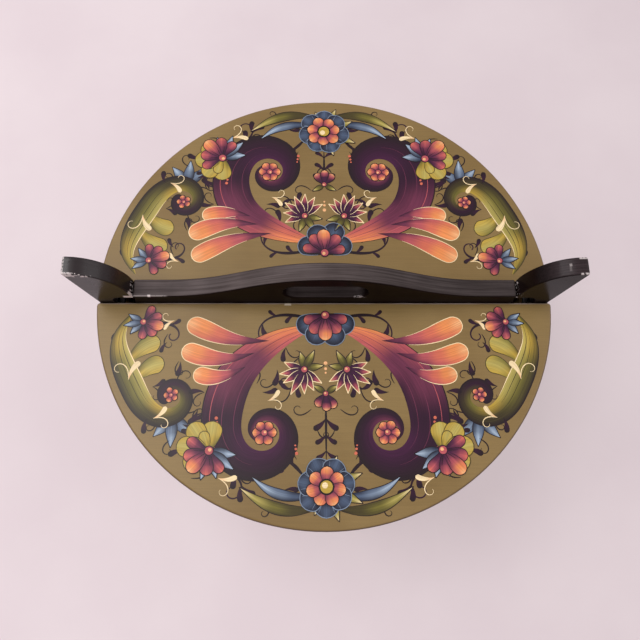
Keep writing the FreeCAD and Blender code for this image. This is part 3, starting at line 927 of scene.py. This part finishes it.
def crest(paint, base):
    """The open flower at the rim, with two long leaves that follow the edge."""
    leaves = [([(8, 14), (24, 15), (42, 10), (58, 0)], 8, OLIVE_LEAF),
              ([(10, 6), (24, 6), (38, 2), (50, -7)], 7, BLUE_LEAF)]
    for side in (1, -1):
        paint.side = side
        paint.layer = LEAF_LAYER
        for places, width, rows in leaves:
            knots = [(x, base + y) for x, y in places]
            leaf = paint.stroke(knots, [2, 0.8 * width, width, 0.6 * width, 0.1], rows)
            paint.rim(leaf, 0.5, INK, 0.05)
    paint.side = 1
    paint.layer = ROSETTE_LAYER
    rosette(paint, (0, base), 20)


def tulip(paint, base, size):
    """The dark flower that opens from the handle's middle, and a small bud above it."""
    paint.side = 1
    paint.layer = FLOWER_LAYER
    lobes(paint, (0, base), 90, size, NAVY_LOBE, GREY_BLUE)
    bell(paint, (0, base), 90, 0.72 * size)
    heart(paint, (0, base), 3)
    bud = (0, base + 2.2 * size)
    paint.layer = FLOWER_LAYER
    spray(paint, bud, -90, 0.45 * size, (-50, 50), OLIVE_LEAF)
    fan(paint, bud, 90, 0.5 * size, (-36, 36, 0), 0.5, DUSK_PETAL)
    heart(paint, bud, 1.8)
    paint.layer = BUD_STEM_LAYER
    paint.liner([(0, bud[1] + 8), (0, bud[1] + 24), (0, 112)], 1.6, INK)
    for step, radius in ((0, 1.3), (4, 1), (7, 0.7)):
        paint.dot((0, base + 1.36 * size + step), radius, PEACH)


# How far out the flowers on the leaf's middle line stand, and the size of the inner one
CREST_PLACE = 130
TULIP_PLACE = 10
TULIP_SIZE = 26


def paint_leaf(name, out, seed, inset):
    """The whole design on one leaf."""
    paint = Painting(name, out, seed)
    for side in (1, -1):
        paint.side = side
        half_of_leaf(paint, inset)
    crest(paint, CREST_PLACE)
    tulip(paint, TULIP_PLACE + inset, TULIP_SIZE)
    return paint.piece()


# Each leaf's painting: its name, the way out to the rim along Y, the seed of its small differences and how
# far the parts beside the handle are moved out
PAINTINGS = [("front_rosemaling", -1, 3, 0), ("rear_rosemaling", 1, 5, 16)]

# How brightly the world lights the object
SKY_STRENGTH = 0.39
# The floor's half side, and how far it lies under the box so that the two don't touch
FLOOR_REACH = 12.0
FLOOR_DROP = 0.2 * MM
# The share of its plain colour that the floor shows near the box, and the distances where that grows to all
GLOW_SHARE = 0.55
GLOW_NEAR, GLOW_FAR = 0.8, 3.0
# What the lamps point at, and each lamp's name, place, side and power
LAMP_AIM = Vector((0, 0, 0.1))
LAMPS = [("window", (-1.15, 0.3, 2.2), 1.45, 34.0),
         ("left_fill", (-2.1, -0.2, 1.8), 2.2, 10.0),
         ("right_fill", (2.0, 0.1, 1.9), 2.2, 17.0),
         ("front_fill", (0, -2.0, 1.9), 2.2, 6.0)]


def sky():
    """Even light from all around, seen as a backdrop as pale as the floor."""
    world = bpy.data.worlds.new("studio")
    world.use_nodes = True
    tree = world.node_tree
    light = tree.nodes["Background"]
    light.inputs["Color"].default_value = (*SKY, 1)
    light.inputs["Strength"].default_value = SKY_STRENGTH
    backdrop = tree.nodes.new("ShaderNodeBackground")
    backdrop.inputs["Color"].default_value = (*BACKDROP, 1)
    both = tree.nodes.new("ShaderNodeMixShader")
    tree.links.new(seen_rays(tree), both.inputs[0])
    tree.links.new(light.outputs[0], both.inputs[1])
    tree.links.new(backdrop.outputs[0], both.inputs[2])
    tree.links.new(both.outputs[0], tree.nodes["World Output"].inputs["Surface"])
    bpy.context.scene.world = world


def floor_paint():
    """Plain and pale, with painted shade making it a little darker to the right, and a faint shadow."""
    shader = Shader("floor")
    mottle = shader.noise((6, 6, 6), 4)
    colour = shader.mix(shader.spread(mottle, 0.3, 0.7), *FLOOR)
    # Painted shade: the floor's colour falls to 0.9 of itself towards the right
    colour = shader.times(colour, shader.spread(shader.part(shader.place, 0), -0.35, 0.5, 1.0, 0.9))
    near = shader.near((0, 0, 0), GLOW_NEAR, GLOW_FAR)
    shader.glow(colour, shader.blend(near, 1.0, GLOW_SHARE))
    return shader.finish(colour, 0.9, shader.bump(shader.noise((300, 300, 300), 2), 0.1 * MM))


def stage():
    """A pale floor in even light."""
    mesh = bpy.data.meshes.new("floor")
    corners = [(x * FLOOR_REACH, y * FLOOR_REACH, 0) for x, y in ((-1, -1), (1, -1), (1, 1), (-1, 1))]
    mesh.from_pydata(corners, [], [(0, 1, 2, 3)])
    mesh.materials.append(floor_paint())
    floor = bpy.data.objects.new("floor", mesh)
    floor.location.z = -FLOOR_DROP
    bpy.context.scene.collection.objects.link(floor)
    sky()


def lamps():
    """Broad soft lamps, the strongest above and to the left."""
    for name, place, size, power in LAMPS:
        lamp = bpy.data.lights.new(name, "AREA")
        lamp.shape = "SQUARE"
        lamp.size = size
        lamp.energy = power
        light = bpy.data.objects.new(name, lamp)
        light.location = place
        light.rotation_euler = (LAMP_AIM - Vector(place)).to_track_quat("-Z", "Y").to_euler()
        bpy.context.scene.collection.objects.link(light)


def camera():
    """Looks down on the lid from above its front edge, as the photograph does."""
    focal_pixels = 653.6
    picture_pixels = 640
    sensor = 36.0
    tilt = math.radians(17.88)
    turn = math.radians(-0.91)
    offset = Vector((-0.068, -0.995, 2.709)) * LID_RADIUS
    data = bpy.data.cameras.new("camera")
    data.sensor_width = sensor
    data.lens = sensor * focal_pixels / picture_pixels
    seen = bpy.data.objects.new("camera", data)
    seen.matrix_world = (Matrix.Translation(offset + Vector((0, 0, LID_TOP)))
                         @ Matrix.Rotation(tilt, 4, "X") @ Matrix.Rotation(turn, 4, "Y"))
    bpy.context.scene.collection.objects.link(seen)
    bpy.context.scene.camera = seen


camera()
stage()
lamps()
bpy.context.scene.view_settings.view_transform = "Standard"
dress(("lid_front_leaf", "lid_rear_leaf"), lid_paint())
dress(("handle_board",), dark_paint("handle_paint", HANDLE_TOP_LIGHT, HANDLE_EDGE, handle_wear_and_highlight(), HANDLE_SHINE,
                                    HANDLE_ROUGHNESS, HANDLE_RIGHT_SHADE_SHARE))
dress(("left_post",), dark_paint("left_post_paint", LEFT_POST_TOP_LIGHT, POST_EDGE, post_wear(-1),
                                 LEFT_POST_SHINE, POST_ROUGHNESS))
dress(("right_post",), dark_paint("right_post_paint", RIGHT_POST_TOP_LIGHT, POST_EDGE, post_wear(1),
                                  RIGHT_POST_SHINE, POST_ROUGHNESS))
dress(("side_band",), band_paint())
dress(("base_board", "left_cleat", "right_cleat"), bare_wood())
dress(("base_pegs", "left_foot_peg", "right_foot_peg", "leaf_dowels", "cleat_pegs"), peg_wood())
dress(("lap_lacing",), root())
strokes = rosemaling_paint()
for name, out, seed, inset in PAINTINGS:
    piece = paint_leaf(name, out, seed, inset)
    piece.data.materials.append(strokes)
    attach(piece, "lid")
